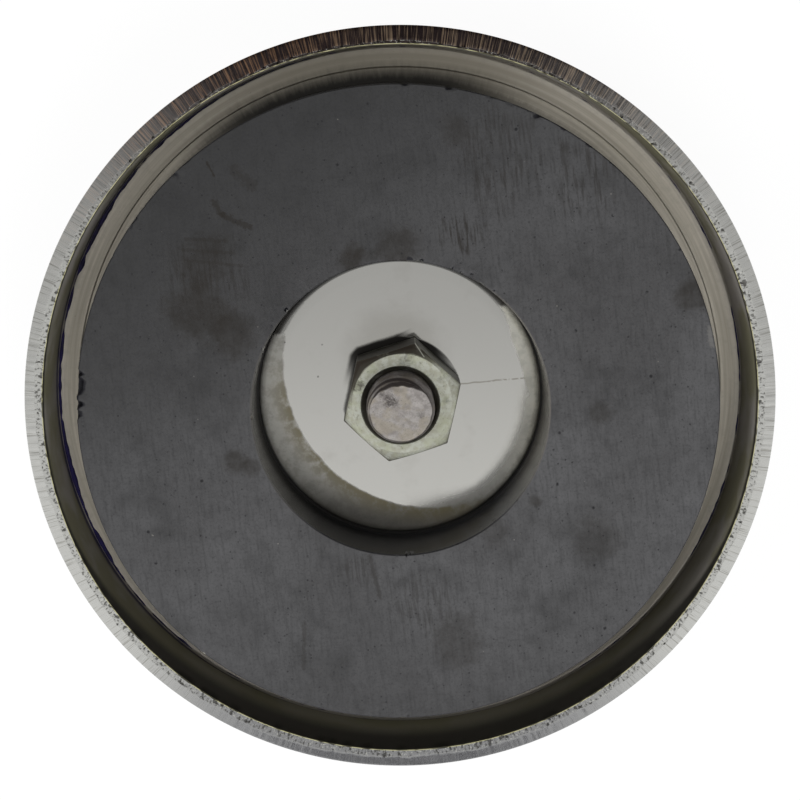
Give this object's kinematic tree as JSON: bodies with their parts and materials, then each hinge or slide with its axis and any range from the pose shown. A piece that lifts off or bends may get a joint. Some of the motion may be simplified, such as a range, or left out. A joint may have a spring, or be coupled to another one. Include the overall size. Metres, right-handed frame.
{
  "type": "pot magnet",
  "caption": "Round pot magnet: plated steel cup, ferrite ring inside it, and a central bolt with a hexagon nut on the magnet side.",
  "frame": {"origin": "on the cup's axis, level with the underside of the bolt head, the lowest point", "axes": "+Z out of the magnet's working face; X and Y across the cup"},
  "size_m": [0.086, 0.086, 0.0175],
  "materials": {
    "plated_cup": "bright plated, brushed and stained",
    "ferrite": "ground matt, dark grey",
    "glue": "cured, dark",
    "plated_bolt": "zinc plated, worn",
    "plated_nut": "zinc plated, dull"
  },
  "bodies": {
    "root": {"steel_cup": "plated_cup", "ring_magnet": "ferrite", "magnet_glue": "glue", "hex_bolt": "plated_bolt", "hex_nut": "plated_nut"}
  },
  "joints": []
}
